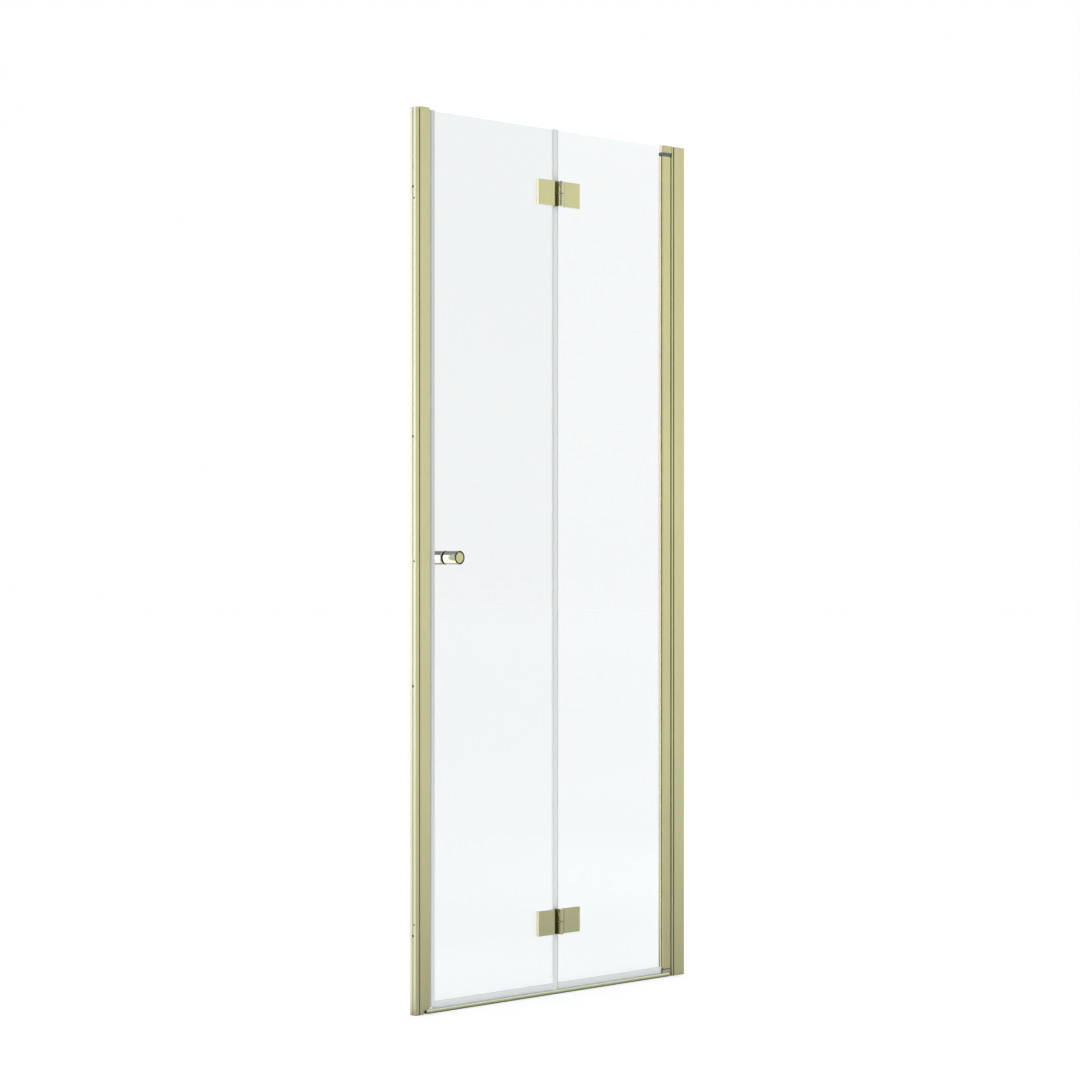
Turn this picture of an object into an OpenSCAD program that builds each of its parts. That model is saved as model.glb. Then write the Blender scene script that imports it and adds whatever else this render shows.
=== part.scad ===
// Bifold shower door: two frameless glass leaves joined by two exposed-knuckle hinges.
// The right leaf turns on pivots at the right wall, the left leaf folds against its outer face.
// Frame: X across the opening, Y into the shower, Z up. Origin on the floor at mid-opening,
// half way through the glass. Millimetres.

/* [Opening] */
// Width from wall face to wall face
door_w = 902.5; // [800:0.5:1100]
// Height of the wall profiles
door_h = 2000; // [1850:10:2200]

/* [Glass] */
// Thickness of both panes
glass_t = 6; // [5:0.5:6]
// Distance from the top of the panes up to the top of the profiles
glass_drop = 1; // [0.5:0.5:8]
// Height of the bottom edge of the panes above the floor
glass_foot = 14; // [13:1:16]

/* [Wall profiles] */
// Depth of the profiles, front to back
profile_d = 18; // [18:0.5:20]
// Width of the left wall channel
left_channel_w = 10.5; // [8:0.5:12]
// Width of the right wall channel
right_channel_w = 36.7; // [34:0.1:40]
// Width of the dark shadow line between a channel and the profile that slides in it
shadow_gap = 3; // [2:0.1:4]
// Wall thickness of the channels
channel_t = 1.6; // [1.4:0.1:1.7]
// Width of the closing profile that the left leaf shuts against
closing_w = 30.3; // [28:0.1:34]
// Spacing of the four wall screw holes in each channel
wall_hole_pitch = 550; // [450:10:580]
// Diameter of the wall screw holes
wall_hole_d = 6; // [4:0.5:7]
// Distance of the outer adjusting screws from the profile ends
adjust_inset = 200; // [190:5:300]

/* [Pivot side] */
// Distance of the pivot axis from the right wall
pivot_inset = 54; // [53:0.5:60]
// Diameter of the pivot pins
pivot_pin_d = 8; // [6:0.5:9]
// Width of the pivot profile left of its axis
pivot_arm = 22.8; // [21:0.1:28]
// Height of the cast top block
top_block_h = 16.6; // [14:0.1:20]

/* [Threshold] */
// Height of the threshold rail
rail_h = 10; // [9:0.5:10]
// Radius along the top edges of the rail
rail_round = 2.5; // [2:0.5:5]

/* [Hinges] */
// Position of the fold axis right of mid-opening
hinge_x = 7; // [0:0.1:12]
// Distance of the fold axis in front of the middle of the glass
hinge_out = 17.5; // [17:0.1:19]
// Height of the hinge plates
hinge_h = 58; // [50:1:70]
// Width of one hinge plate
hinge_plate_w = 53.2; // [48:0.1:60]
// Thickness of the hinge plates
hinge_plate_t = 8.5; // [7:0.1:9]
// Distance from the fold axis to the near edge of a plate
hinge_reach = 15.8; // [15:0.1:18]
// Diameter of the knuckles
knuckle_d = 11.4; // [10:0.2:12]
// Diameter of the hinge pin
hinge_pin_d = 6; // [4:0.5:6]
// Height of the middle of the lower hinge
low_hinge_z = 167.5; // [120:0.5:300]
// Distance of the middle of the upper hinge below the top of the profiles
high_hinge_drop = 150.5; // [110:0.5:300]

/* [Knobs] */
// Diameter of the knobs
knob_d = 31; // [26:1:36]
// Length of a knob
knob_l = 38; // [25:1:45]
// Distance of the knob axis from the left wall
knob_inset = 101.5; // [85:0.5:130]
// Height of the knob axis
knob_z = 1008; // [900:1:1100]

/* [Hidden] */
$fn = 64;
EPS = 0.01;

// Walls, glass faces and profile faces
wall_x = door_w / 2;
half_d = profile_d / 2;
glass_y = glass_t / 2;
glass_top = door_h - glass_drop;

// Running fit, and the gap between bodies that pass each other
fit = 0.05;
pass_gap = 0.2;

// Left wall: channel, closing profile and its magnet
web_t = 2;
groove_w = 3;
groove_depth = 1;
left_flange_x = -wall_x + left_channel_w;
closing_x0 = left_flange_x + shadow_gap - 0.3;
closing_x1 = closing_x0 + closing_w;
tongue_y = half_d - channel_t - pass_gap;
tongue_t = 1.5;
neck_y = 5;
shell_t = 1.5;
magnet_w = 7.8;
magnet_depth = 3;
magnet_rib = 3;
foot_notch_w = 19.3;
adjust_z = [adjust_inset, door_h / 2, door_h - adjust_inset];
wall_z = [for (i = [0 : 3]) door_h / 2 + (i - 1.5) * wall_hole_pitch];
sight_hole_d = 4;
sight_hole_y = -3.5;
screw_r = 1.8;
screw_head_r = 3.2;

// Right wall: channel, adjusting profile and pivot line
pivot_x = wall_x - pivot_inset;
right_flange_x = wall_x - right_channel_w;
strip_x1 = right_flange_x - shadow_gap - 0.3;
strip_x0 = pivot_x + half_d - 0.2;
seat_r = half_d + 0.6;
tongue_x0 = right_flange_x + 1.2;
tongue_x1 = wall_x - web_t - 8;
port_r = pivot_pin_d / 2 + 2.5;
slot_end_x = pivot_x - 9.5;
slot_front = half_d - 3.2;
slot_back = glass_y + 0.5;
pivot_x0 = pivot_x - pivot_arm;
notch_x = pivot_x0 - 2.7;
top_notch_x = pivot_x0 - 10.7;
tenon_y = 4;

// Heights along the pivot line, from the floor up
low_block_top = rail_h + 7.5;
pivot_z0 = low_block_top + 2.7;
high_block_z = door_h - top_block_h;
pivot_z1 = high_block_z - 9.4;
spigot_l = 26;

// Seals
seal_t = 1.4;
seal_y = glass_y + seal_t;
seal_foot = rail_h + 0.4;
seal_top = 24;
left_glass_x0 = closing_x1 + 10;
left_glass_x1 = hinge_x - 7.7;
right_glass_x0 = hinge_x + 5;
flap_w = 10;
middle_flap_w = 4;
lip_w = 3.2;
lip_t = 0.7;

// Hinge stack, in front of the glass
pad_t = 1;
plate_y0 = glass_y + pad_t;
plate_y1 = plate_y0 + hinge_plate_t;
arm_y0 = 7;
arm_y1 = 9.5;
knuckle_gap = 0.5;
knuckle_r = knuckle_d / 2;
block_half = 7;
hinge_pin_l = hinge_h / 2 - 3;
plate_mid = hinge_reach + hinge_plate_w / 2;
glass_hole_r = 7;
sink_r = 10;
sink_depth = 3;
bolt_r = 2.5;
bolt_head_r = 8.4;
bolt_pitch = 30;
hinge_z = [low_hinge_z, door_h - high_hinge_drop];

// Knobs
knob_x = -wall_x + knob_inset;
knob_r = knob_d / 2;
knob_washer_t = 3;
knob_hole_r = 6;
spindle_r = 3;
spindle_l = 20;
ring_d = 4;
ring_w = 3.4;
ring_edge = 0.6;

// Colours
gold = [0.76, 0.75, 0.56];
pale_gold = [0.82, 0.81, 0.62];
clear = [0.90, 0.94, 0.94, 0.45];
seal_colour = [0.78, 0.82, 0.82, 0.7];
black = [0.12, 0.12, 0.10];
grey = [0.45, 0.45, 0.48];
steel = [0.70, 0.70, 0.70];

// ---------- shared shapes ----------

// Box between two corners
module span(a, b) {
    translate(a)
        cube(b - a);
}

// Rectangle between two corners, with its corners rounded
module soft_rect(a, b, r) {
    translate([a[0] + r, a[1]])
        square([b[0] - a[0] - 2 * r, b[1] - a[1]]);
    translate([a[0], a[1] + r])
        square([b[0] - a[0], b[1] - a[1] - 2 * r]);
    for (x = [a[0] + r, b[0] - r])
        for (y = [a[1] + r, b[1] - r])
            translate([x, y])
                circle(r);
}

// Upright extrusion of a plan section
module upright(z0, z1) {
    translate([0, 0, z0])
        linear_extrude(z1 - z0)
            children();
}

// Extrusion along X of a section drawn in Y and Z
module along_x(x0, x1) {
    translate([x0, 0, 0])
        rotate([90, 0, 90])
            linear_extrude(x1 - x0)
                children();
}

// Cylinder along Y between two depths
module rod_y(x, z, y0, y1, r) {
    translate([x, y1, z])
        rotate([90, 0, 0])
            cylinder(h = y1 - y0, r = r);
}

// Places its children on each of one leaf's hinge bolts
module at_bolts(side, heights = hinge_z) {
    for (z = heights)
        for (s = [-1, 1])
            translate([hinge_x + side * plate_mid, 0, z + s * bolt_pitch / 2])
                children();
}

// Cylinder along X
module rod_x(y, z, x0, x1, r) {
    translate([x0, y, z])
        rotate([0, 90, 0])
            cylinder(h = x1 - x0, r = r);
}

// Wall screw holes and sight holes through a channel's web, and its drill-centring groove
module web_cuts(side) {
    face_x = side * wall_x;
    x0 = min(face_x, face_x - side * web_t * 2);
    for (z = wall_z)
        rod_x(0, z, x0 - EPS, x0 + web_t * 2 + EPS, wall_hole_d / 2);
    for (z = adjust_z)
        rod_x(sight_hole_y, z, x0 - EPS, x0 + web_t * 2 + EPS, sight_hole_d / 2);
    upright(-EPS, door_h + EPS)
        polygon([
            [face_x + side * EPS, -groove_w / 2],
            [face_x - side * groove_depth, 0],
            [face_x + side * EPS, groove_w / 2]
        ]);
}

// Pan-head adjusting screw, driven from the shower side
module adjusting_screw(x, z) {
    head_t = 1.6;
    difference() {
        union() {
            rod_y(x, z, tongue_y - tongue_t - 0.5, half_d + EPS, screw_r);
            translate([x, half_d, z])
                rotate([-90, 0, 0])
                    rotate_extrude()
                        polygon([
                            [0, 0], [screw_head_r, 0], [screw_head_r, head_t / 2],
                            [screw_head_r * 0.7, head_t], [0, head_t]
                        ]);
        }
        for (a = [0, 90])
            translate([x, half_d + head_t, z])
                rotate([0, a, 0])
                    cube([3.4, 1.6, 0.7], center = true);
    }
}

// ---------- fixed frame ----------

module left_wall_channel() {
    color(pale_gold)
        difference() {
            upright(0, door_h)
                difference() {
                    soft_rect([-wall_x, -half_d], [left_flange_x, half_d], 0.5);
                    translate([-wall_x + web_t, -half_d + channel_t])
                        square([left_channel_w, profile_d - 2 * channel_t]);
                }
            web_cuts(-1);
            for (z = adjust_z)
                rod_y(left_flange_x - left_channel_w / 2, z, tongue_y, half_d + 1, screw_r + pass_gap);
        }
}

module left_closing_profile() {
    color(gold)
        difference() {
            upright(0, door_h)
                difference() {
                    union() {
                        soft_rect([closing_x0, -half_d], [closing_x1, half_d], 1);
                        translate([-wall_x + web_t + 0.4, -tongue_y])
                            square([left_channel_w - web_t - 1.2, 2 * tongue_y]);
                        translate([left_flange_x - 2, -neck_y])
                            square([closing_x0 - left_flange_x + 3, 2 * neck_y]);
                    }
                    translate([-wall_x, -tongue_y + tongue_t])
                        square([left_channel_w - 0.8 - tongue_t, 2 * (tongue_y - tongue_t)]);
                    translate([-wall_x, -neck_y + tongue_t])
                        square([closing_x0 + wall_x - EPS, 2 * (neck_y - tongue_t)]);
                    translate([closing_x0 + shell_t, -half_d + shell_t])
                        square([closing_w - 3 * shell_t - magnet_depth, profile_d - 2 * shell_t]);
                    translate([closing_x1 - magnet_depth, -magnet_w / 2 - 0.1])
                        square([magnet_depth + 1, magnet_w + 0.2]);
                }
            span([closing_x1 - foot_notch_w, -half_d - 1, -1], [closing_x1 + 1, half_d + 1, rail_h]);
            for (z = adjust_z)
                rod_y(left_flange_x - left_channel_w / 2, z, 0, half_d + 1, screw_r);
        }
}

// Cap on the closing profile, with a plug that fits inside it
module left_top_plug() {
    plug_h = 12;
    cap_h = 2.4;
    cap_round = 5;
    color(gold) {
        upright(door_h - plug_h, door_h + cap_h / 2)
            translate([closing_x0 + shell_t, -half_d + shell_t])
                square([closing_w - 3 * shell_t - magnet_depth, profile_d - 2 * shell_t]);
        intersection() {
            upright(door_h, door_h + cap_h)
                soft_rect([closing_x0, -half_d], [closing_x1, half_d], 1);
            union() {
                rod_y(closing_x1 - cap_round, door_h + cap_h - cap_round, -half_d, half_d, cap_round);
                span(
                    [closing_x0, -half_d, door_h],
                    [closing_x1 - cap_round, half_d, door_h + cap_h]
                );
            }
        }
    }
}

module left_magnet_strip() {
    x0 = closing_x1 - magnet_depth;
    color(grey)
        upright(rail_h + 2, door_h - 2)
            soft_rect([x0, -magnet_w / 2], [closing_x1 - pass_gap, magnet_w / 2], 0.6);
}

module left_profile_screws() {
    color(gold)
        for (z = adjust_z)
            adjusting_screw(left_flange_x - left_channel_w / 2, z);
}

module right_wall_channel() {
    color(pale_gold)
        difference() {
            upright(0, door_h)
                difference() {
                    soft_rect([right_flange_x, -half_d], [wall_x, half_d], 0.5);
                    translate([right_flange_x - 1, -half_d + channel_t])
                        square([right_channel_w - web_t + 1, profile_d - 2 * channel_t]);
                }
            web_cuts(1);
            for (z = adjust_z)
                rod_y(right_flange_x + 12, z, tongue_y, half_d + 1, screw_r + pass_gap);
        }
}

// Pocket in the adjusting profile that takes the tenon of a pivot block
module tenon_pocket(z0, z1) {
    span([strip_x0 - 1, -tenon_y, z0], [tongue_x0 + tongue_t + EPS, tenon_y, z1]);
}

module right_adjusting_profile() {
    color(gold)
        difference() {
            upright(0, door_h)
                difference() {
                    union() {
                        soft_rect([strip_x0, -half_d], [strip_x1, half_d], 0.5);
                        translate([strip_x1 - 2, -neck_y])
                            square([tongue_x0 - strip_x1 + 3, 2 * neck_y]);
                        translate([tongue_x0, -tongue_y])
                            square([tongue_x1 - tongue_x0, 2 * tongue_y]);
                    }
                    translate([pivot_x, 0])
                        circle(seat_r);
                    translate([strip_x0 - 1, 0])
                        square([1 + pivot_x + half_d + 0.8 - strip_x0, half_d + 1]);
                    translate([strip_x1 + 1, -neck_y + tongue_t])
                        square([tongue_x0 - strip_x1 + 1, 2 * (neck_y - tongue_t)]);
                    translate([tongue_x0 + tongue_t, -tongue_y + tongue_t])
                        square([tongue_x1 - tongue_x0 - 2 * tongue_t, 2 * (tongue_y - tongue_t)]);
                }
            tenon_pocket(high_block_z + 6, door_h + 1);
            tenon_pocket(rail_h, low_block_top);
            for (z = adjust_z)
                rod_y(right_flange_x + 12, z, 0, half_d + 1, screw_r);
            for (z = [rail_h + 4, door_h - 5])
                rod_y(strip_x1 + 9, z, 0, half_d + 1, screw_r);
        }
}

module right_profile_screws() {
    color(gold)
        for (z = adjust_z)
            adjusting_screw(right_flange_x + 12, z);
}

module threshold_rail() {
    rail_wall = 1.6;
    foot_line = 0.9;
    foot_line_h = 1.4;
    color(gold)
        along_x(closing_x1 - foot_notch_w + 10.5, pivot_x)
            difference() {
                union() {
                    translate([-half_d, 0])
                        square([profile_d, rail_h - rail_round]);
                    translate([-half_d + rail_round, 0])
                        square([profile_d - 2 * rail_round, rail_h]);
                    for (s = [-1, 1])
                        translate([s * (half_d - rail_round), rail_h - rail_round])
                            circle(rail_round);
                }
                for (s = [-1, 1])
                    translate([s > 0 ? half_d - foot_line : -half_d - 1, -1])
                        square([foot_line + 1, 1 + foot_line_h]);
                for (s = [-1, 1])
                    translate([s > 0 ? 0.8 : -half_d + rail_wall, -1])
                        square([half_d - rail_wall - 0.8, rail_h - rail_round + 1]);
                for (s = [-1, 1])
                    translate([s > 0 ? 0.8 : -half_d + rail_round, -1])
                        square([half_d - rail_round - 0.8, rail_h - rail_wall + 1]);
            }
}

// Outline of the pivot line seen from above: round end about the axis, flat faces to the left
module pivot_outline(x0, back, r) {
    translate([pivot_x, 0])
        circle(r);
    translate([x0, -r])
        square([pivot_x - x0, r + back]);
}

module top_pivot_block() {
    seam = 0.7;
    seam_depth = 1.5;
    tenon_z0 = high_block_z + 6;
    tenon_x1 = tongue_x1 - tongue_t - 0.2;
    tenon_half = tongue_y - tongue_t;
    tenon_wide_x0 = tongue_x0 + tongue_t + 0.2;
    color(gold)
        difference() {
            union() {
                upright(high_block_z, door_h)
                    soft_rect([pivot_x0, -half_d], [strip_x0 - seam, half_d], 0.8);
                span([pivot_x, -half_d + seam_depth, tenon_z0], [strip_x0, half_d - seam_depth, door_h]);
                span([pivot_x, -tenon_y, tenon_z0], [tenon_x1, tenon_y, door_h]);
                span([tenon_wide_x0, -tenon_half, tenon_z0], [tenon_x1, tenon_half, door_h]);
            }
            translate([pivot_x, 0, high_block_z - 1])
                cylinder(h = top_block_h - 2, r = pivot_pin_d / 2);
            rod_y(strip_x1 + 9, door_h - 5, 0, half_d, screw_r);
        }
}

module top_pivot_pin() {
    color(steel)
        translate([pivot_x, 0, pivot_z1 - spigot_l + 4])
            cylinder(h = door_h - 3 - (pivot_z1 - spigot_l + 4), r = pivot_pin_d / 2);
}

module bottom_pivot_block() {
    set_back = 1.2;
    color(gold)
        difference() {
            union() {
                upright(rail_h, low_block_top)
                    pivot_outline(pivot_x0, half_d, half_d - set_back);
                span([pivot_x, -tenon_y, rail_h], [strip_x1 + 16, tenon_y, low_block_top]);
            }
            translate([pivot_x, 0, rail_h - 1])
                cylinder(h = low_block_top - rail_h + 2, r = pivot_pin_d / 2);
            rod_y(strip_x1 + 9, rail_h + 4, 0, half_d, screw_r);
        }
}

module bottom_pivot_pin() {
    color(steel)
        translate([pivot_x, 0, rail_h])
            cylinder(h = pivot_z0 + spigot_l - 4 - rail_h, r = pivot_pin_d / 2);
}

module pivot_block_screws() {
    color(steel)
        for (z = [rail_h + 4, door_h - 5])
            rod_y(strip_x1 + 9, z, 0.5, tongue_y - 0.3, screw_r);
}

// ---------- right leaf, on the pivots ----------

module right_glass() {
    color(clear)
        difference() {
            span([right_glass_x0, -glass_y, glass_foot], [slot_end_x, glass_y, glass_top]);
            span([top_notch_x, -glass_y - 1, pivot_z1 - 1], [slot_end_x + 1, glass_y + 1, glass_top + 1]);
            span([notch_x, -glass_y - 1, 0], [slot_end_x + 1, glass_y + 1, pivot_z0 + 1]);
            at_bolts(1)
                glass_hole_shape(1);
        }
}

module pivot_profile() {
    color(gold)
        upright(pivot_z0, pivot_z1)
            difference() {
                union() {
                    translate([pivot_x, 0])
                        circle(half_d);
                    soft_rect([pivot_x0, -half_d], [pivot_x, half_d], 0.8);
                    translate([pivot_x - 2, -half_d])
                        square([2, profile_d]);
                }
                translate([pivot_x, 0])
                    circle(port_r);
                translate([pivot_x0 - 1, -slot_front])
                    square([slot_end_x - pivot_x0 + 1 + 0.3, slot_front + slot_back]);
            }
}

// Wedge gasket that grips the pane in the pivot profile, with a lip over the profile's edge
module front_pane_gasket() {
    edge_lip = 0.6;
    color(black)
        upright(seal_top, pivot_z1 - 1)
            difference() {
                union() {
                    translate([pivot_x0 - EPS, -slot_front])
                        square([slot_end_x - pivot_x0, slot_front - glass_y]);
                    translate([pivot_x0 - edge_lip, -half_d + 0.4])
                        square([edge_lip, half_d - 0.4 - glass_y]);
                }
                for (x = [pivot_x0 + 4, pivot_x0 + 7, pivot_x0 + 10])
                    translate([x, -slot_front])
                        circle(0.7);
            }
}

// Thin liner behind the pane
module back_pane_gasket() {
    color(seal_colour)
        upright(seal_top, pivot_z1 - 1)
            translate([pivot_x0 + 0.4, glass_y])
                square([slot_end_x - pivot_x0 - 0.4, slot_back - glass_y]);
}

module top_pivot_bush() {
    color(grey)
        difference() {
            union() {
                upright(pivot_z1, high_block_z - pass_gap)
                    pivot_outline(pivot_x0 + 0.3, half_d - 0.3, half_d - 0.3);
                translate([pivot_x, 0, pivot_z1 - spigot_l])
                    cylinder(h = spigot_l + 1, r = port_r);
            }
            translate([pivot_x, 0, pivot_z1 - spigot_l - 1])
                cylinder(h = spigot_l + 20, r = pivot_pin_d / 2 + fit);
        }
}

module bottom_pivot_bush() {
    color(grey)
        difference() {
            union() {
                upright(low_block_top + pass_gap, pivot_z0)
                    pivot_outline(pivot_x0 + 0.3, half_d - 0.3, half_d - 0.3);
                translate([pivot_x, 0, pivot_z0 - 1])
                    cylinder(h = spigot_l + 1, r = port_r);
            }
            translate([pivot_x, 0, low_block_top - 1])
                cylinder(h = spigot_l + 10, r = pivot_pin_d / 2 + fit);
        }
}

// Clip-on seal along the foot of a pane, drawn in Y and Z: two legs, base, wiping fins
module bottom_seal_section() {
    rib_r = 0.45;
    difference() {
        translate([-seal_y, glass_foot - seal_t])
            square([2 * seal_y, seal_top - glass_foot + seal_t]);
        translate([-glass_y, glass_foot])
            square([glass_t, seal_top]);
    }
    for (s = [-1, 1])
        translate([s * (glass_y + seal_t / 2), seal_top])
            circle(seal_t / 2);
    for (z = [glass_foot + 1, glass_foot + 6])
        translate([-seal_y, z])
            circle(rib_r);
    for (y = [-seal_y, -0.6, seal_y - 1.2])
        translate([y, seal_foot])
            square([1.2, glass_foot - seal_foot - seal_t / 2]);
}

// The seal's front leg runs on into the slot of the pivot profile, under the gasket
module right_bottom_seal() {
    color(seal_colour) {
        along_x(right_glass_x0 + 0.5, notch_x)
            bottom_seal_section();
        span(
            [notch_x - 0.5, -seal_y, pivot_z0 + 1],
            [slot_end_x - 0.4, -glass_y, seal_top]
        );
    }
}

// ---------- hinges ----------

// Plate with its arm, block and half-height knuckle. side -1 is the left leaf, which
// holds the upper knuckle; side 1 is the right leaf, which holds the lower one.
module hinge_plate(side, z) {
    half_h = hinge_h / 2;
    bore_r = hinge_pin_d / 2 + (side < 0 ? fit : 0);
    difference() {
        translate([hinge_x, -hinge_out, z])
            mirror([side < 0 ? 1 : 0, 0, 0])
                mirror([0, 0, side > 0 ? 1 : 0])
                    union() {
                        upright(-half_h, half_h)
                            soft_rect(
                                [hinge_reach, hinge_out - plate_y1],
                                [hinge_reach + hinge_plate_w, hinge_out - plate_y0],
                                0.8
                            );
                        upright(knuckle_gap, half_h)
                            circle(knuckle_r);
                        upright(knuckle_gap, half_h)
                            translate([0, hinge_out - arm_y1])
                                square([hinge_reach + 1, arm_y1 - arm_y0]);
                        upright(-half_h, knuckle_gap + 1)
                            translate([block_half + knuckle_gap, hinge_out - arm_y1])
                                square([hinge_reach - block_half, arm_y1 - arm_y0]);
                        knuckle_block(half_h, side < 0);
                    }
        translate([hinge_x, -hinge_out, z + (side < 0 ? 0 : -hinge_pin_l)])
            cylinder(h = hinge_pin_l, r = bore_r);
        at_bolts(side, [z])
            rod_y(0, 0, -plate_y1 + 2, 0, bolt_r);
    }
}

// Block that carries the knuckle in front of the arm. Where it is rounded, a large
// radius takes it back from the knuckle to the arm over its last third.
module knuckle_block(top, rounded) {
    round_r = 25;
    round_h = 17;
    front = 1;
    back = hinge_out - arm_y0;
    along_x(-block_half, block_half)
        difference() {
            translate([front, knuckle_gap])
                square([back - front, top - knuckle_gap]);
            if (rounded)
                difference() {
                    translate([front - 1, top - round_h])
                        square([back - front + 1 - (arm_y1 - arm_y0), round_h + 1]);
                    translate([front + round_r, top - round_h])
                        circle(round_r);
                }
        }
}

module lower_hinge_right_plate() {
    color(gold)
        hinge_plate(1, hinge_z[0]);
}

module upper_hinge_right_plate() {
    color(gold)
        hinge_plate(1, hinge_z[1]);
}

module lower_hinge_left_plate() {
    color(gold)
        hinge_plate(-1, hinge_z[0]);
}

module upper_hinge_left_plate() {
    color(gold)
        hinge_plate(-1, hinge_z[1]);
}

// Half section of a glass hole and of the sleeve in it: straight, then a countersink
// that opens to the shower side
module glass_hole_shape(edge) {
    rotate([-90, 0, 0])
        rotate_extrude()
            polygon([
                [0, -glass_y - edge], [glass_hole_r, -glass_y - edge], [glass_hole_r, glass_y - sink_depth],
                [sink_r, glass_y], [sink_r, glass_y + edge], [0, glass_y + edge]
            ]);
}

// Countersunk bolt with a wide head that lies flush with the inner face of the glass
module hinge_bolt_shape() {
    rotate([-90, 0, 0])
        rotate_extrude()
            polygon([
                [0, -plate_y1 + 2.5], [bolt_r, -plate_y1 + 2.5], [bolt_r, -glass_y + 1],
                [bolt_head_r, glass_y - 0.4], [bolt_head_r, glass_y], [0, glass_y]
            ]);
}

// Clear pads between the plates and the glass, at both hinges
module hinge_pads(side) {
    inset = 0.6;
    x0 = hinge_x + side * (hinge_reach + inset);
    x1 = hinge_x + side * (hinge_reach + hinge_plate_w - inset);
    color(clear)
        difference() {
            for (z = hinge_z)
                span(
                    [min(x0, x1), -plate_y0, z - hinge_h / 2 + inset],
                    [max(x0, x1), -glass_y, z + hinge_h / 2 - inset]
                );
            at_bolts(side)
                rod_y(0, 0, -plate_y0 - 1, 0, bolt_r);
        }
}

module right_hinge_pads() {
    hinge_pads(1);
}

module left_hinge_pads() {
    hinge_pads(-1);
}

// Plastic sleeves that keep the bolts off the glass
module hinge_sleeves(side) {
    color(grey)
        at_bolts(side)
            difference() {
                glass_hole_shape(0);
                hinge_bolt_shape();
            }
}

module right_hinge_sleeves() {
    hinge_sleeves(1);
}

module left_hinge_sleeves() {
    hinge_sleeves(-1);
}

// Bolts with a hexagon socket, driven from the shower side
module hinge_screws(side) {
    color(steel)
        at_bolts(side)
            difference() {
                hinge_bolt_shape();
                translate([0, glass_y + 1, 0])
                    rotate([90, 0, 0])
                        cylinder(h = 3.2, r = 2.3, $fn = 6);
            }
}

module right_hinge_screws() {
    hinge_screws(1);
}

module left_hinge_screws() {
    hinge_screws(-1);
}

module hinge_pin(z) {
    color(steel)
        translate([hinge_x, -hinge_out, z - hinge_pin_l])
            cylinder(h = 2 * hinge_pin_l - 0.3, r = hinge_pin_d / 2);
}

module lower_hinge_pin() {
    hinge_pin(hinge_z[0]);
}

module upper_hinge_pin() {
    hinge_pin(hinge_z[1]);
}

// Thin thrust washers that the upper knuckles turn on
module hinge_washers() {
    color(black)
        for (z = hinge_z)
            translate([hinge_x, -hinge_out, z - knuckle_gap])
                difference() {
                    cylinder(h = 2 * knuckle_gap - 0.1, r = knuckle_r - 0.8);
                    translate([0, 0, -1])
                        cylinder(h = 3, r = hinge_pin_d / 2);
                }
}

// ---------- left leaf, on the fold axis ----------

module left_glass() {
    color(clear)
        difference() {
            span([left_glass_x0, -glass_y, glass_foot], [left_glass_x1, glass_y, glass_top]);
            at_bolts(-1)
                glass_hole_shape(1);
            rod_y(knob_x, knob_z, -glass_y - 1, glass_y + 1, knob_hole_r);
        }
}

// Clip along an upright glass edge at x: two legs reach len towards side, and over the
// last lip_len each one thins out to a soft lip
module edge_clip(x, side, len, lip_len) {
    translate([x, 0])
        mirror([side < 0 ? 1 : 0, 0]) {
            translate([-seal_t, -seal_y])
                square([seal_t, 2 * seal_y]);
            for (y = [-seal_y, glass_y])
                translate([-seal_t / 2, y])
                    square([seal_t / 2 + len - lip_len, seal_t]);
            for (y = [-glass_y - lip_t, glass_y])
                translate([len - lip_len - 1, y])
                    square([lip_len + 1, lip_t]);
        }
}

// Clip with a rib that holds the door's magnet
module magnet_seal() {
    color(seal_colour)
        upright(glass_foot - seal_t, glass_top) {
            edge_clip(left_glass_x0, 1, flap_w, lip_w);
            translate([left_glass_x0 - seal_t - magnet_rib, -0.8])
                square([magnet_rib + 0.5, 1.6]);
        }
}

module door_magnet() {
    head_x0 = closing_x1 + 0.8;
    head_x1 = left_glass_x0 - seal_t;
    head_y = 3.6;
    color(grey)
        upright(glass_foot - seal_t, glass_top)
            difference() {
                soft_rect([head_x0, -head_y], [head_x1, head_y], 0.8);
                translate([head_x1 - magnet_rib, -0.8])
                    square([magnet_rib + 1, 1.6]);
            }
}

// Clip on the left pane, with a tube that fills the joint and a fin towards the right pane
module middle_seal() {
    tube_x0 = left_glass_x1 + seal_t - 0.5;
    tube_x1 = right_glass_x0 - 3;
    wall = 1;
    color(seal_colour)
        upright(glass_foot - seal_t, glass_top) {
            edge_clip(left_glass_x1, -1, middle_flap_w, 1);
            difference() {
                soft_rect([tube_x0, -seal_y], [tube_x1, seal_y], 1.2);
                translate([tube_x0 + wall, -seal_y + wall])
                    square([tube_x1 - tube_x0 - 2 * wall, 2 * (seal_y - wall)]);
            }
            translate([tube_x1 - 0.5, -0.8])
                square([right_glass_x0 - tube_x1, 1.6]);
        }
}

module left_bottom_seal() {
    color(seal_colour)
        along_x(left_glass_x0 + flap_w, left_glass_x1 - middle_flap_w)
            bottom_seal_section();
}

// Turned knob about the Y axis, standing off the glass on its washer
module knob(side) {
    y0 = glass_y + knob_washer_t;
    ring_r = knob_r - ring_edge;
    edge = 0.4;
    translate([knob_x, 0, knob_z])
        rotate([side < 0 ? 90 : -90, 0, 0])
            difference() {
                rotate_extrude()
                    polygon([
                        [0, y0], [knob_r - edge, y0], [knob_r, y0 + edge],
                        [knob_r, y0 + knob_l - edge], [knob_r - edge, y0 + knob_l],
                        [ring_r, y0 + knob_l], [ring_r, y0 + knob_l - ring_d],
                        [0, y0 + knob_l - ring_d]
                    ]);
                translate([0, 0, y0 - 1])
                    cylinder(h = spindle_l - y0 + 1, r = spindle_r);
            }
}

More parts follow.
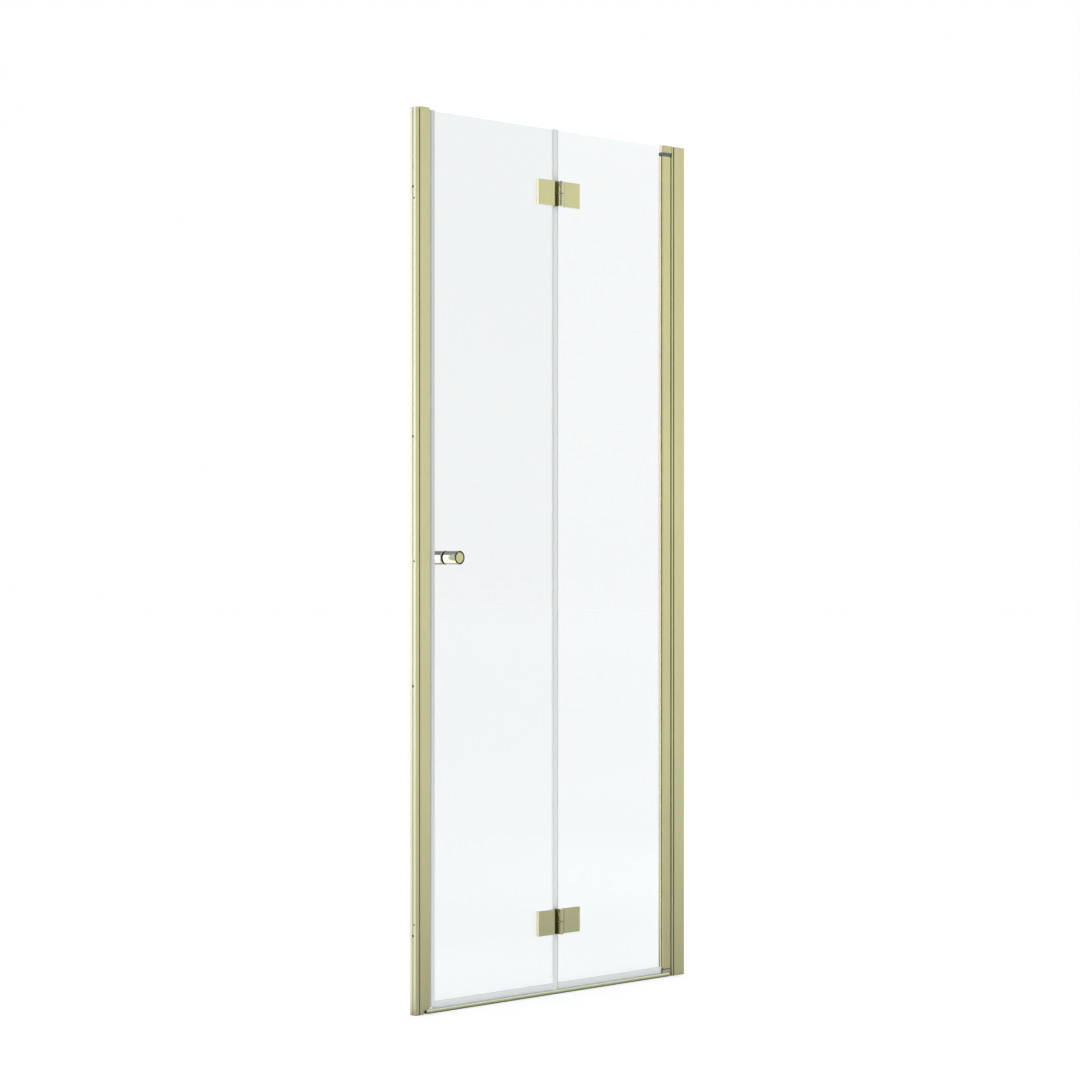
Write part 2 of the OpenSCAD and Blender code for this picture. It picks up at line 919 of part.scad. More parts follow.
module front_knob() {
    color(pale_gold)
        knob(-1);
}

module back_knob() {
    color(pale_gold)
        knob(1);
}

// Round plate set in the end of a knob, leaving a dark ring round it
module knob_cap(side) {
    y1 = glass_y + knob_washer_t + knob_l;
    ring_r = knob_r - ring_edge - ring_w;
    color(gold)
        translate([knob_x, 0, knob_z])
            rotate([side < 0 ? 90 : -90, 0, 0])
                translate([0, 0, y1 - ring_d])
                    cylinder(h = ring_d, r = ring_r);
}

module front_knob_cap() {
    knob_cap(-1);
}

module back_knob_cap() {
    knob_cap(1);
}

// Washers between the knobs and the glass
module knob_washers() {
    color(black)
        for (y = [-glass_y - knob_washer_t, glass_y])
            difference() {
                rod_y(knob_x, knob_z, y, y + knob_washer_t, knob_r - 0.4);
                rod_y(knob_x, knob_z, y - 1, y + knob_washer_t + 1, spindle_r);
            }
}

module knob_sleeve() {
    color(grey)
        difference() {
            rod_y(knob_x, knob_z, -glass_y, glass_y, knob_hole_r);
            rod_y(knob_x, knob_z, -glass_y - 1, glass_y + 1, spindle_r);
        }
}

module knob_spindle() {
    color(steel)
        rod_y(knob_x, knob_z, -spindle_l + 0.5, spindle_l - 0.5, spindle_r);
}

left_wall_channel();
left_closing_profile();
left_top_plug();
left_magnet_strip();
left_profile_screws();
right_wall_channel();
right_adjusting_profile();
right_profile_screws();
threshold_rail();
top_pivot_block();
top_pivot_pin();
bottom_pivot_block();
bottom_pivot_pin();
pivot_block_screws();
right_glass();
pivot_profile();
front_pane_gasket();
back_pane_gasket();
top_pivot_bush();
bottom_pivot_bush();
right_bottom_seal();
lower_hinge_right_plate();
upper_hinge_right_plate();
right_hinge_pads();
right_hinge_sleeves();
right_hinge_screws();
lower_hinge_pin();
upper_hinge_pin();
hinge_washers();
left_glass();
magnet_seal();
door_magnet();
middle_seal();
left_bottom_seal();
lower_hinge_left_plate();
upper_hinge_left_plate();
left_hinge_pads();
left_hinge_sleeves();
left_hinge_screws();
front_knob();
back_knob();
front_knob_cap();
back_knob_cap();
knob_washers();
knob_sleeve();
knob_spindle();
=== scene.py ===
"""Bifold shower door: finishes, floor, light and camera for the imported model."""
import bpy
import math
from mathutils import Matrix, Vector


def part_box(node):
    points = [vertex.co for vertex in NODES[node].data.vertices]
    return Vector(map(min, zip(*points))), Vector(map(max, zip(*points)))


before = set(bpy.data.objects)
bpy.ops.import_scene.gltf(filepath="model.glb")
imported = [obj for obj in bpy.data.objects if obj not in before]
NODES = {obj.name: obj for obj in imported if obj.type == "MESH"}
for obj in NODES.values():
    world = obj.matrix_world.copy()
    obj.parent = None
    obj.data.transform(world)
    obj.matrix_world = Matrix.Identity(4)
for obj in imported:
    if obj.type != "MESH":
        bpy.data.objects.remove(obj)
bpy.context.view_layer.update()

# ---------- camera ----------

EYE = (-4.91105, -4.6326, 1.0)
HEADING = math.radians(-46.404)
LENS_MM = 97.284
SENSOR_MM = 36.0
IMAGE_PX = 1080
HORIZON_DROP_PX = 21.27
CLIP_END_M = 200


def make_camera():
    data = bpy.data.cameras.new("camera")
    data.sensor_width = SENSOR_MM
    data.lens = LENS_MM
    data.shift_y = HORIZON_DROP_PX / IMAGE_PX
    data.clip_end = CLIP_END_M
    camera = bpy.data.objects.new("camera", data)
    camera.location = EYE
    camera.rotation_euler = (math.radians(90), 0, HEADING)
    bpy.context.collection.objects.link(camera)
    bpy.context.scene.camera = camera


# ---------- colours ----------

WHITE = (1.0, 1.0, 1.0)


def linear(r, g, b):
    """A colour written as 0 to 255 screen values, as linear light."""
    def one(value):
        value /= 255
        return value / 12.92 if value <= 0.04045 else ((value + 0.055) / 1.055) ** 2.4
    return tuple(one(value) for value in (r, g, b))


def shade(colour, factor):
    return tuple(min(1.0, part * factor) for part in colour)


def grey(value):
    return (value, value, value)


# ---------- node trees ----------

class Tree:
    """A node tree being built: each method adds a node and returns its output.

    A method takes a socket, which it links, or a plain value, which it sets.
    """

    def __init__(self, tree):
        self.tree = tree

    def node(self, kind, **settings):
        made = self.tree.nodes.new(kind)
        for key, value in settings.items():
            setattr(made, key, value)
        return made

    def feed(self, target, value):
        if isinstance(value, bpy.types.NodeSocket):
            self.tree.links.new(value, target)
        else:
            target.default_value = value

    def math(self, operation, *values, **settings):
        made = self.node("ShaderNodeMath", operation=operation, **settings)
        for target, value in zip(made.inputs, values):
            self.feed(target, value)
        return made.outputs[0]

    def vector(self, operation, *values):
        """A vector operation; those that measure a vector return a number."""
        made = self.node("ShaderNodeVectorMath", operation=operation)
        for target, value in zip(made.inputs, values):
            self.feed(target, value)
        return made.outputs["Value" if operation in ("DOT_PRODUCT", "LENGTH") else "Vector"]

    def scaled(self, vector, factor):
        made = self.node("ShaderNodeVectorMath", operation="SCALE")
        self.feed(made.inputs[0], vector)
        self.feed(made.inputs["Scale"], factor)
        return made.outputs["Vector"]

    def xyz(self, vector):
        """The three numbers of a vector, as outputs X, Y and Z."""
        parts = self.node("ShaderNodeSeparateXYZ")
        self.feed(parts.inputs["Vector"], vector)
        return parts.outputs

    def remap(self, value, start, end, low, high):
        """The value mapped from start and end to low and high, and held there beyond them."""
        made = self.node("ShaderNodeMapRange")
        names = ("From Min", "From Max", "To Min", "To Max")
        for key, number in zip(names, (start, end, low, high)):
            made.inputs[key].default_value = number
        self.feed(made.inputs["Value"], value)
        return made.outputs["Result"]

    def colours(self, factor, *stops):
        """A colour ramp: each stop is (position, (r, g, b))."""
        made = self.node("ShaderNodeValToRGB")
        ramp = made.color_ramp
        while len(ramp.elements) < len(stops):
            ramp.elements.new(0.5)
        for element, (position, colour) in zip(ramp.elements, stops):
            element.position = position
            element.color = (*colour, 1)
        self.feed(made.inputs["Fac"], factor)
        return made.outputs["Color"]

    def mixed(self, factor, one, two, **settings):
        """One where the factor is 0 and two where it is 1; colours if given data_type RGBA."""
        made = self.node("ShaderNodeMix", **settings)
        for key, value in (("Factor", factor), ("A", one), ("B", two)):
            self.feed(made.inputs[key], value)
        return made.outputs["Result"]

    def mixed_colours(self, factor, one, two, **settings):
        one, two = (
            (*value, 1) if isinstance(value, tuple) else value for value in (one, two)
        )
        return self.mixed(factor, one, two, data_type="RGBA", **settings)

    def seen_directly(self, rays):
        """1 for what the camera sees, with or without glass between."""
        return self.math("MAXIMUM", rays["Is Camera Ray"], rays["Is Transmission Ray"])


class Shader(Tree):
    """The node tree of a new material around its Principled shader."""

    def __init__(self, name):
        self.material = bpy.data.materials.new(name)
        self.material.use_nodes = True
        super().__init__(self.material.node_tree)
        self.bsdf = self.tree.nodes["Principled BSDF"]

    def set(self, **values):
        """Sets or links the shader's own sockets, with _ for a space in their names."""
        for key, value in values.items():
            self.feed(self.bsdf.inputs[key.replace("_", " ")], value)

    def coordinates(self, scale=(1, 1, 1)):
        """Object coordinates in metres, multiplied by scale along each axis."""
        where = self.node("ShaderNodeTexCoord")
        mapping = self.node("ShaderNodeMapping")
        mapping.inputs["Scale"].default_value = scale
        self.feed(mapping.inputs["Vector"], where.outputs["Object"])
        return mapping.outputs["Vector"]

    def noise_at(self, vector, scale, detail, roughness):
        """Noise between 0 and 1 over a vector."""
        made = self.node("ShaderNodeTexNoise")
        made.inputs["Scale"].default_value = scale
        made.inputs["Detail"].default_value = detail
        made.inputs["Roughness"].default_value = roughness
        self.feed(made.inputs["Vector"], vector)
        return made.outputs["Fac"]

    def noise(self, scale, detail=2.0):
        """Noise between 0 and 1 with that many features a metre along each axis."""
        return self.noise_at(self.coordinates(scale), 1.0, detail, 0.55)

    def spread(self, factor, low, high):
        """A factor from 0 to 1 mapped to low to high."""
        return self.remap(factor, 0.0, 1.0, low, high)

    def mottled(self, noise, low, high):
        """A colour from low to high over the middle of a noise's range."""
        return self.colours(noise, (0.3, low), (0.7, high))

    def towards(self, direction):
        """How far a point lies in that direction from the origin, in metres."""
        return self.vector("DOT_PRODUCT", self.coordinates(), direction)

    def height(self):
        return self.xyz(self.coordinates())["Z"]

    def inside(self, low, high, soft=0.0004):
        """1 within the box from low to high in metres, 0 outside, over an edge of soft."""
        position = self.xyz(self.coordinates())
        within = None
        for axis, start, end in zip("XYZ", low, high):
            for bound, half in ((start, soft / 2), (end, -soft / 2)):
                edge = self.remap(position[axis], bound - half, bound + half, 0.0, 1.0)
                within = edge if within is None else self.math("MINIMUM", within, edge)
        return within

    def product(self, one, two):
        """Two colours multiplied."""
        return self.mixed_colours(1.0, one, two, blend_type="MULTIPLY")

    def dimmed(self, tone, mask, colour):
        """The tone, multiplied by that colour where the mask is 1."""
        return self.product(tone, self.colours(mask, (0.0, WHITE), (1.0, colour)))

    def painted_glow_within(self, colour, faces=None):
        """Gives faces met from inside a painted glow of that colour, as where a solid touches the
        glass.
        """
        glow = self.node("ShaderNodeNewGeometry").outputs["Backfacing"]
        if faces is not None:
            glow = self.math("MULTIPLY", glow, faces)
        self.set(Emission_Color=(*colour, 1), Emission_Strength=glow)

    def bump(self, height, distance, strength, edge_radius=0.0):
        """Bumps of that distance in metres, over edges softened to edge_radius."""
        made = self.node("ShaderNodeBump")
        made.inputs["Strength"].default_value = strength
        made.inputs["Distance"].default_value = distance
        self.feed(made.inputs["Height"], height)
        if edge_radius:
            soft = self.node("ShaderNodeBevel", samples=4)
            soft.inputs["Radius"].default_value = edge_radius
            self.feed(made.inputs["Normal"], soft.outputs["Normal"])
        self.set(Normal=made.outputs["Normal"])


# ---------- materials ----------

GOLD = linear(197, 195, 147)
# Painted shade, multiplied into gold in the profiles' shadow gaps and in the knob's end ring.
PAINTED_SHADE_GOLD = (0.20, 0.18, 0.10)
# Painted shade in the hinges' recesses.
RECESS_PAINTED_SHADE = (0.31, 0.30, 0.18)

# Features a metre: across brush lines, along those of a profile, and along those of a pin.
FINE = 6000
LONG = 12
SHORT = 200
BRUSH_DEPTH = 0.000006

# The rail's finish by height in metres: its gold between a painted shadow at its foot and a painted
# highlight at its top.
RAIL_GOLD_SHADE_AND_HIGHLIGHT = (
    (0.0, (0.20, 0.21, 0.13)),
    (0.0022, (0.33, 0.36, 0.17)),
    (0.0044, (0.66, 0.73, 0.34)),
    (0.0066, (0.9, 0.97, 0.56)),
    (0.0085, (1.0, 1.0, 0.8)),
)


def satin_gold(
    name, grain, colour=GOLD, roughness=(0.30, 0.40), edge_radius=0.0004,
    slots=(), dark=PAINTED_SHADE_GOLD, rise=(),
):
    """Satin-anodised pale gold: grain is the brush lines' features a metre along X, Y and Z.

    The finish is multiplied by dark in the slots, which are boxes given by two corners, as painted
    shade, and by the colours of rise at their heights in metres, which paint shade and highlight.
    """
    s = Shader(name)
    s.set(Metallic=0.92, IOR=1.5)
    lines = s.noise(grain)
    tone = s.mottled(s.noise((14, 14, 3)), shade(colour, 0.97), shade(colour, 1.03))
    # Painted shade in the slots.
    for low, high in slots:
        tone = s.dimmed(tone, s.inside(low, high), dark)
    # Painted shade and highlight by height.
    if rise:
        top = rise[-1][0]
        steps = [(place / top, shown) for place, shown in rise]
        tone = s.product(tone, s.colours(s.remap(s.height(), 0.0, top, 0.0, 1.0), *steps))
    s.set(Base_Color=tone, Roughness=s.spread(lines, *roughness))
    s.bump(lines, BRUSH_DEPTH, 0.35, edge_radius)
    return s.material


def turned_metal(name, colour, roughness, ringed=False):
    """Lathe-turned metal: fine rings about the knob's own axis, and painted shade on its end ring
    if ringed.
    """
    rings_a_metre = 4000
    end_start, end_full = 0.0003, 0.0001
    rim_start, rim_full = 0.0003, 0.0005
    low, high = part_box("front_knob")
    centre = ((low[0] + high[0]) / 2, 0, (low[2] + high[2]) / 2)
    reach = -low[1]
    knob_radius = (high[0] - low[0]) / 2

    s = Shader(name)
    s.set(Metallic=0.95, IOR=1.5)
    offset = s.vector("SUBTRACT", s.node("ShaderNodeTexCoord").outputs["Object"], centre)
    radius = s.vector("LENGTH", s.vector("MULTIPLY", offset, (1, 0, 1)))
    along = s.xyz(offset)["Y"]
    rings = s.node("ShaderNodeCombineXYZ")
    s.feed(rings.inputs["X"], radius)
    s.feed(rings.inputs["Y"], along)
    lines = s.noise_at(rings.outputs["Vector"], rings_a_metre, 2.0, 0.5)
    tone = s.mottled(lines, shade(colour, 0.96), shade(colour, 1.04))
    if ringed:
        # Painted shade on the end ring: the end face and everything inside the rim's radius, the
        # groove among them, are darkened.
        depth = s.math("ABSOLUTE", along)
        end = s.remap(depth, reach - end_start, reach - end_full, 0.0, 1.0)
        well = s.remap(radius, knob_radius - rim_start, knob_radius - rim_full, 0.0, 1.0)
        tone = s.dimmed(tone, s.math("MAXIMUM", end, well), PAINTED_SHADE_GOLD)
    s.set(Base_Color=tone, Roughness=s.spread(lines, *roughness))
    s.bump(lines, BRUSH_DEPTH, 0.15, 0.0003)
    return s.material


def clear_glass(name, *tints_and_shades):
    """Toughened glass: a tint with painted shade by height, lightest at the foot, and pale edges
    that light doesn't pass, with a painted glow from within.
    """
    pane_height = 2.0
    edge_tone = (*linear(240, 246, 244), 1)
    edge_glow = linear(222, 230, 227)
    s = Shader(name)
    s.set(Roughness=0.0, IOR=1.5)
    normal = s.node("ShaderNodeNewGeometry").outputs["True Normal"]
    side = s.math("ABSOLUTE", s.xyz(normal)["Y"])
    face = s.remap(side, 0.4, 0.6, 0.0, 1.0)
    edge = s.remap(side, 0.4, 0.6, 1.0, 0.0)
    # Painted shade: the pane's colour goes through the given tones from foot to top.
    steps = [(i / (len(tints_and_shades) - 1), tint) for i, tint in enumerate(tints_and_shades)]
    pane_tone = s.colours(s.remap(s.height(), 0.0, pane_height, 0.0, 1.0), *steps)
    tone = s.mixed(face, edge_tone, pane_tone, data_type="RGBA")
    s.set(Transmission_Weight=face, Base_Color=tone)
    # A painted glow on the edge faces, met from inside.
    s.painted_glow_within(edge_glow, edge)
    return s.material


def clear_vinyl(name, dim, light, above):
    """Clear soft seal, slightly milky, with draw lines from dim to light along its length.

    Its colour is multiplied by above at heights over 0.9 m, and less so below: painted shade that
    darkens it higher up.
    """
    s = Shader(name)
    s.set(IOR=1.45)
    draw = s.noise((900, 900, 4))
    # Painted shade by height.
    height = s.remap(s.towards((0, 0, 1)), 0.0, 0.9, 0.0, 1.0)
    tone = s.dimmed(s.mottled(draw, dim, light), height, grey(above))
    s.set(Base_Color=tone, Roughness=s.spread(draw, 0.18, 0.3))
    s.bump(draw, 0.00002, 0.4)
    # A painted glow on faces met from inside.
    s.painted_glow_within(linear(204, 208, 208))
    return s.material


def moulded(name, colour, roughness, gloss=0.5, patch=None, within=None):
    """Moulded rubber or plastic with a fine even grain.

    A patch is a box given by two corners, and the colour within it. The colour within is a painted
    glow on faces met from inside, such as those that touch the glass.
    """
    s = Shader(name)
    s.set(IOR=1.48, Specular_IOR_Level=gloss)
    speck = s.noise((900, 900, 900), 4.0)
    tone = s.mottled(s.noise((30, 30, 30)), shade(colour, 0.94), shade(colour, 1.06))
    if patch:
        low, high, other = patch
        tone = s.mixed_colours(s.inside(low, high), tone, other)
    s.set(Base_Color=tone, Roughness=s.spread(speck, roughness - 0.07, roughness + 0.07))
    s.bump(speck, 0.00002, 0.5, 0.0002)
    if within:
        s.painted_glow_within(within)
    return s.material


def plain_steel(name):
    s = Shader(name)
    lines = s.noise((FINE, FINE, SHORT))
    tone = s.mottled(lines, (0.50, 0.50, 0.49), (0.60, 0.60, 0.58))
    s.set(Metallic=1.0, Base_Color=tone, Roughness=s.spread(lines, 0.25, 0.38))
    s.bump(lines, 0.00001, 0.4, 0.0002)
    return s.material


def profile_painted_shade_boxes():
    """Boxes of painted shade: the shadow gaps beside the wall channels, and the left channel's
    inside.
    """
    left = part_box("left_wall_channel")
    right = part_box("right_wall_channel")
    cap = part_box("left_top_plug")
    strip = 0.0033
    overlap = 0.0015
    neck = 0.006
    below, above = -1, 3
    return (
        ((left[1][0], -neck, below), (cap[0][0], neck, above)),
        ((right[0][0] - strip, -neck, below), (right[0][0] + overlap, neck, above)),
    )


def hinge_painted_shade_boxes():
    """Boxes of painted shade between the left plates and the knuckles, where the arms lie deep."""
    reach = 0.0158
    block = 0.0067
    front = -0.02
    margin = 0.01
    boxes = []
    for height in ("lower", "upper"):
        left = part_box(f"{height}_hinge_left_plate")
        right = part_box(f"{height}_hinge_right_plate")
        axis = (left[0][0] + right[1][0]) / 2
        start = (axis - reach, front, left[0][2] - margin)
        boxes.append((start, (axis - block, 0, left[1][2] + margin)))
    return boxes


def box_by_depth(start, end):
    """A box from start to end along Y that holds all of the door along X and Z."""
    return (-9, start, -9), (9, end, 9)


def make_finishes():
    """Every finish, with the nodes that have it."""
    # The foot tint is lighter than the tones above it: painted shade by height.
    painted_light_foot_tint = (0.905, 0.93, 0.922)
    gold_lip = (*box_by_depth(-0.02, -0.0063), linear(238, 233, 178))
    pale_back = (*box_by_depth(0, 9), linear(222, 220, 198))
    return {
        # Painted shade in the shadow gaps beside the wall channels.
        satin_gold("gold_upright", (FINE, FINE, LONG), slots=profile_painted_shade_boxes()): (
            "left_wall_channel", "left_closing_profile", "left_top_plug", "right_wall_channel",
            "right_adjusting_profile", "pivot_profile",
        ),
        # The rail's gold, with a painted shadow at its foot and a painted highlight at its top.
        satin_gold("gold_level", (LONG, FINE, FINE), WHITE, (0.2, 0.3), rise=RAIL_GOLD_SHADE_AND_HIGHLIGHT): (
            "threshold_rail",
        ),
        # Painted shade in the hinges' recesses between the plates and the knuckles.
        satin_gold(
            "gold_plate", (FINE, FINE, 40), roughness=(0.15, 0.24), edge_radius=0.0006,
            slots=hinge_painted_shade_boxes(), dark=RECESS_PAINTED_SHADE,
        ): tuple(name for name in NODES if "hinge" in name and name.endswith("plate")),
        satin_gold("gold_cast", (700, 700, 700), linear(190, 184, 143), (0.26, 0.36), 0.0008): (
            "top_pivot_block", "bottom_pivot_block",
        ),
        satin_gold("gold_screw", (1500, 1500, 1500), linear(186, 182, 136), (0.28, 0.4), 0.0002): (
            "left_profile_screws", "right_profile_screws", "left_hinge_screws",
            "right_hinge_screws",
        ),
        # Painted shade on the knob's end ring.
        turned_metal("knob_side", linear(248, 246, 213), (0.16, 0.25), ringed=True): (
            "front_knob", "back_knob",
        ),
        turned_metal("knob_face", linear(190, 193, 144), (0.28, 0.40)): (
            "front_knob_cap", "back_knob_cap",
        ),
        clear_glass("left_pane", painted_light_foot_tint, (0.83, 0.852, 0.845), (0.85, 0.875, 0.868)): (
            "left_glass",
        ),
        clear_glass("right_pane", painted_light_foot_tint, (0.853, 0.876, 0.869), (0.895, 0.92, 0.912)): (
            "right_glass",
        ),
        clear_vinyl("clear_seal", linear(236, 240, 239), linear(244, 248, 247), 0.9): (
            "middle_seal", "left_bottom_seal", "right_bottom_seal", "left_hinge_pads",
            "right_hinge_pads",
        ),
        clear_vinyl("edge_seal", linear(231, 234, 236), linear(241, 245, 246), 0.75): (
            "magnet_seal",
        ),
        moulded("magnet_strip", linear(120, 121, 117), 0.55): ("left_magnet_strip",),
        moulded("magnet_cover", linear(190, 191, 184), 0.35): ("door_magnet",),
        # Its faces met from inside get a painted glow.
        moulded("pale_liner", linear(240, 240, 214), 0.4, within=linear(240, 240, 206)): (
            "back_pane_gasket",
        ),
        moulded("gasket", linear(26, 25, 10), 0.6, 0.12, gold_lip): ("front_pane_gasket",),
        moulded("knob_washer", linear(14, 13, 6), 0.7, 0.04, pale_back): (
            "knob_washers", "hinge_washers",
        ),
        moulded("grey_bush", linear(97, 98, 95), 0.42): ("top_pivot_bush", "bottom_pivot_bush"),
        moulded("pale_plastic", linear(214, 214, 208), 0.45): (
            "left_hinge_sleeves", "right_hinge_sleeves", "knob_sleeve",
        ),
        plain_steel("steel"): (
            "top_pivot_pin", "bottom_pivot_pin", "pivot_block_screws", "lower_hinge_pin",
            "upper_hinge_pin", "knob_spindle",
        ),
    }


def dress():
    """Gives every node its finish."""
    dressed = set()
    for material, names in make_finishes().items():
        for name in names:
            for slot in NODES[name].material_slots:
                slot.material = material
            dressed.add(name)
    missing = set(NODES) - dressed
    assert not missing, f"nodes without a finish: {sorted(missing)}"


# ---------- floor ----------

FLOOR_HALF = 40.0
FLOOR_DROP = 0.0002
FLOOR_TONE = 0.8
MIRRORED_FLOOR_TONE = 0.4
LEFT_BACK = (-0.724, 0.69, 0)
RIGHT_BACK = (0.724, 0.69, 0)
FORWARD = (0, -1, 0)

# The floor's glow as light and as the camera sees it. Through glass it is a little less away
# from the door.
PLAIN_GLOW = 0.28
SEEN_GLOW = 0.46
THROUGH_GLASS = (0.4, 1.2, 0.0, -0.085)

# The floor's glow in mirrors: from one distance to another in metres, a glow that goes from one
# strength to another. A sector does so between two cosines.
FAR_GLOW = (1.5, 3.0, 0.0, 0.55)
LANE_SECTOR = (0.9, 0.96, 0.0, 0.5)
LANE_REACH = (4.0, 7.0, 0.0, 1.0)
FRONT_EDGE = (0.005, 0.03, 0.0, 1.0)
FRONT_GLOW = (0.1, 3.4, 0.30, 0.73)
LEFT_SECTOR = (0.7, 0.88, 0.0, 1.0)
LEFT_GLOW = (0.1, 0.4, 0.0, 1.18)
GLASS_GLOW = ((0.5, 3.0, 0.15, 0.38), (3.0, 6.0, 0.0, 0.55), (6.0, 30.0, 0.0, 0.28))
COOL_WHITE = (1, 1, 1.35)
COOL_FROM = 0.95


def mirrored_glow(s, away):
    """What mirrors show of the floor by its place: the whole glow, and the part at the left."""
    aside = s.math("DIVIDE", s.towards(RIGHT_BACK), away)
    lane = s.math("MULTIPLY", s.remap(aside, *LANE_SECTOR), s.remap(away, *LANE_REACH))
    far = s.math("SUBTRACT", s.remap(away, *FAR_GLOW), lane)
    forward = s.towards(FORWARD)
    near = s.math("MULTIPLY", s.remap(forward, *FRONT_EDGE), s.remap(forward, *FRONT_GLOW))
    leftward = s.towards(LEFT_BACK)
    sector = s.remap(s.math("DIVIDE", leftward, away), *LEFT_SECTOR)
    left = s.math("MULTIPLY", sector, s.remap(leftward, *LEFT_GLOW))
    return s.math("MAXIMUM", left, s.math("MAXIMUM", near, far)), left


def floor_finish():
    """Pale, as light and to the camera; mirrors show it darker, with a glow of its own.

    Glass shows it brighter far away, where it meets the world without a line.
    """
    s = Shader("floor")
    rays = s.node("ShaderNodeLightPath").outputs
    direct = s.math("SUBTRACT", s.seen_directly(rays), rays["Glossy Depth"], use_clamp=True)
    mirrored = s.math("MINIMUM", rays["Glossy Depth"], 1.0)
    away = s.vector("LENGTH", s.coordinates())
    bright, left = mirrored_glow(s, away)
    rise = s.remap(away, *GLASS_GLOW[0])
    for step in GLASS_GLOW[1:]:
        rise = s.math("ADD", rise, s.remap(away, *step))
    in_mirror = s.math("ADD", bright, s.math("MULTIPLY", rise, rays["Is Singular Ray"]))
    through = s.math("MULTIPLY", rays["Is Transmission Ray"], s.remap(away, *THROUGH_GLASS))
    plain = s.math("ADD", through, s.spread(direct, PLAIN_GLOW, SEEN_GLOW))
    brushed = s.spread(rays["Is Singular Ray"], 1.0, 0.0)
    cool = s.math("MULTIPLY", s.math("MULTIPLY", mirrored, left), brushed)
    s.set(
        Roughness=0.9,
        Base_Color=s.colours(mirrored, (0.0, grey(FLOOR_TONE)), (1.0, grey(MIRRORED_FLOOR_TONE))),
        Emission_Color=s.colours(cool, (0.0, WHITE), (COOL_FROM, COOL_WHITE)),
        Emission_Strength=s.mixed(mirrored, plain, in_mirror),
    )
    return s.material


def make_floor():
    """A pale floor that keeps shadows; far from the door it goes over into the white world."""
    mesh = bpy.data.meshes.new("floor")
    corners = ((-1, -1), (1, -1), (1, 1), (-1, 1))
    points = [(x * FLOOR_HALF, y * FLOOR_HALF, 0) for x, y in corners]
    mesh.from_pydata(points, [], [(0, 1, 2, 3)])
    mesh.materials.append(floor_finish())
    floor = bpy.data.objects.new("floor", mesh)
    floor.location.z = -FLOOR_DROP
    bpy.context.collection.objects.link(floor)


# ---------- world ----------

PLAIN_LIGHT = 0.7
MIRRORED_LIGHT = 1.2

# What mirrors show by the sine of the elevation, which the ramp takes from LOWEST to HIGHEST.
LOWEST, HIGHEST = -0.2, 0.8
MIRRORED_SKY = ((0.2, grey(1.44)), (0.3, grey(0.88)), (0.5, grey(0.75)), (0.75, (0.16, 0.16, 0.17)))
# The same for the factor that glass has on it, so that the horizon is even.
GLASS_SKY = (0.0, 0.1, 0.83, 1.13)

DARK_CARD = (-0.879, -0.429, 0.208)
CARD_EDGES = (math.cos(math.radians(32)), math.cos(math.radians(26)), 1.0, 0.0)
SECOND_MIRROR = (2.4, 2.4, 5.0)


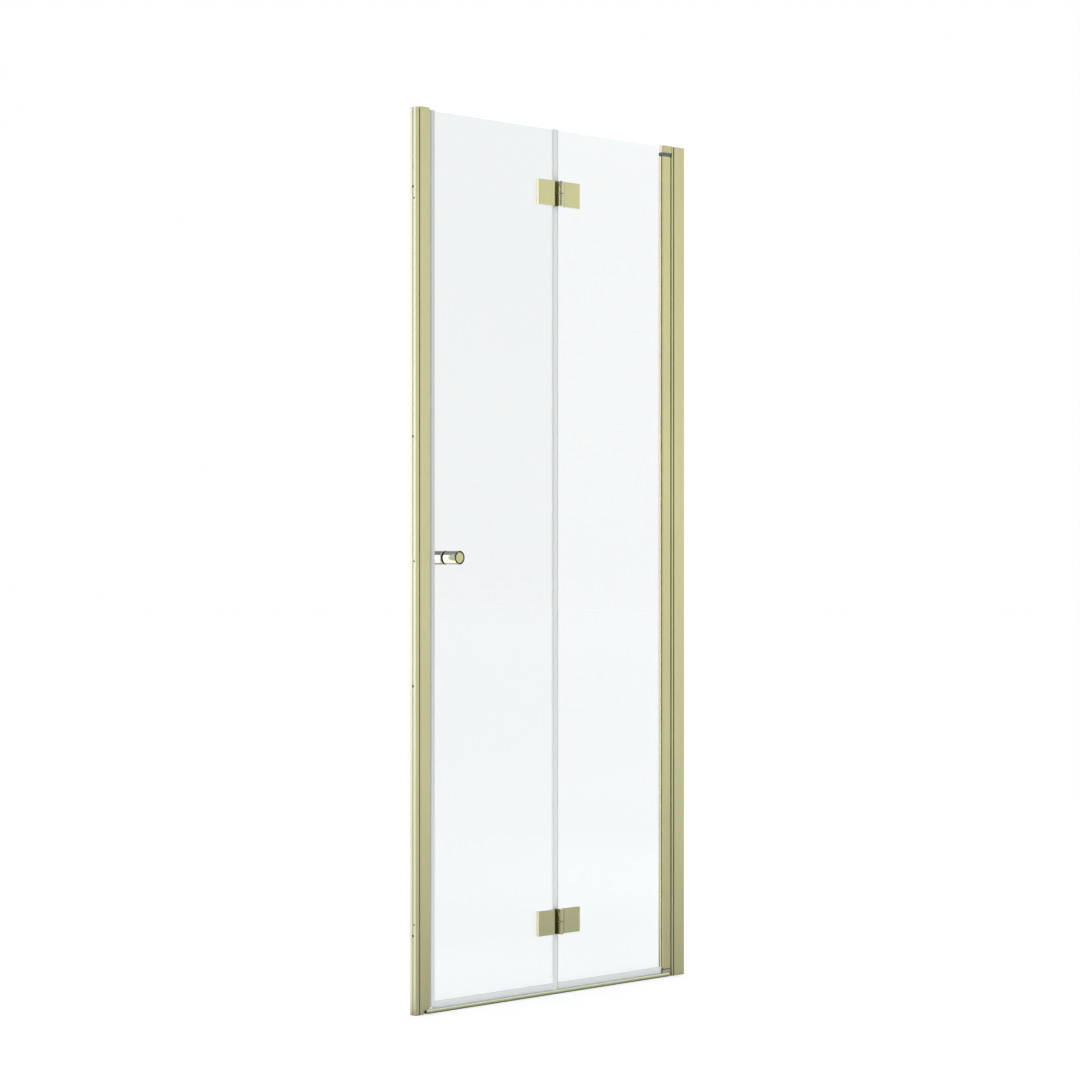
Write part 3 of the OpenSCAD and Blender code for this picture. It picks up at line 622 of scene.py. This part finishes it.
def make_world():
    """White to the camera and through glass, and plain grey as light.

    Mirrors show it darker overhead, and brushed metal shows one dark card between the camera
    and the left. A second reflection is brighter, because it has lost light in the first.
    """
    world = bpy.data.worlds.new("studio")
    world.use_nodes = True
    bpy.context.scene.world = world
    t = Tree(world.node_tree)
    rays = t.node("ShaderNodeLightPath").outputs
    where = t.node("ShaderNodeTexCoord").outputs["Generated"]
    up = t.xyz(where)["Z"]

    sky = t.colours(t.remap(up, LOWEST, HIGHEST, 0.0, 1.0), *MIRRORED_SKY)
    card = t.remap(t.vector("DOT_PRODUCT", where, DARK_CARD), *CARD_EDGES)
    twice = t.math("GREATER_THAN", rays["Glossy Depth"], 1.5)
    no_card = t.math("MAXIMUM", twice, rays["Is Singular Ray"])
    glass = t.mixed(rays["Is Singular Ray"], 1.0, t.remap(up, *GLASS_SKY))
    level = t.math("MULTIPLY", t.math("MAXIMUM", no_card, card), glass)
    boost = t.mixed_colours(twice, WHITE, SECOND_MIRROR)
    in_mirror = t.vector("MULTIPLY", t.scaled(sky, level), boost)

    def background(made, colour, strength):
        t.feed(made.inputs["Color"], colour)
        t.feed(made.inputs["Strength"], strength)
        return made.outputs["Background"]

    def either(factor, one, two):
        made = t.node("ShaderNodeMixShader")
        for target, value in zip(made.inputs, (factor, one, two)):
            t.feed(target, value)
        return made.outputs["Shader"]

    plain = background(t.tree.nodes["Background"], (*WHITE, 1), PLAIN_LIGHT)
    seen = background(t.node("ShaderNodeBackground"), (*WHITE, 1), 1.0)
    mirrored = background(t.node("ShaderNodeBackground"), in_mirror, MIRRORED_LIGHT)
    unmirrored = either(t.seen_directly(rays), plain, seen)
    shown = either(t.math("MINIMUM", rays["Glossy Depth"], 1.0), unmirrored, mirrored)
    t.feed(t.tree.nodes["World Output"].inputs["Surface"], shown)


# ---------- lamps ----------

LAMP_NEUTRAL = (0.86, 0.85, 0.88)
LAMP_COOL = (0.83, 0.82, 1.86)


def softbox(name, place, aim, size, radiance):
    """A square lamp at place that faces aim; radiance is what a mirror would show."""
    data = bpy.data.lights.new(name, "AREA")
    data.shape = "RECTANGLE"
    data.size = data.size_y = size
    data.energy = radiance * math.pi * size * size
    lamp = bpy.data.objects.new(name, data)
    lamp.location = place
    away = [p - a for p, a in zip(place, aim)]
    flat = math.hypot(away[0], away[1])
    lamp.rotation_euler = (math.atan2(flat, away[2]), 0, math.atan2(away[0], -away[1]))
    bpy.context.collection.objects.link(lamp)
    return lamp


def tint_for_metal(lamp):
    """Shows the lamp plain in glass, whose faces are smooth, and cool in brushed metal."""
    lamp.use_nodes = True
    t = Tree(lamp.node_tree)
    rays = t.node("ShaderNodeLightPath").outputs
    tone = t.mixed_colours(rays["Is Singular Ray"], LAMP_COOL, LAMP_NEUTRAL)
    t.feed(t.tree.nodes["Emission"].inputs["Color"], tone)


def light():
    """Three lamps; the one at the left is in two parts, for diffuse light and for mirrors."""
    aim = (0, 0, 2.0)
    diffuse = softbox("left_wall_light", (-3.64, 3.34, 2.0), aim, 3.2, 0.9)
    diffuse.visible_glossy = False
    mirrored = softbox("left_wall_mirrored", (-3.6, 3.3, 2.0), aim, 3.2, 0.97)
    mirrored.visible_diffuse = False
    mirrored.visible_transmission = False
    mirrored.visible_camera = False
    tint_for_metal(mirrored.data)
    key = softbox("key_light", (-2.2, -3.4, 3.6), (0, 0, 1.0), 2.4, 1.6)
    key.visible_glossy = False
    softbox("rail_light", (2.9, 1.0, 2.7), (0, 0, 0), 1.2, 3.0)


make_camera()
dress()
make_floor()
make_world()
light()
bpy.context.scene.view_settings.view_transform = "Standard"
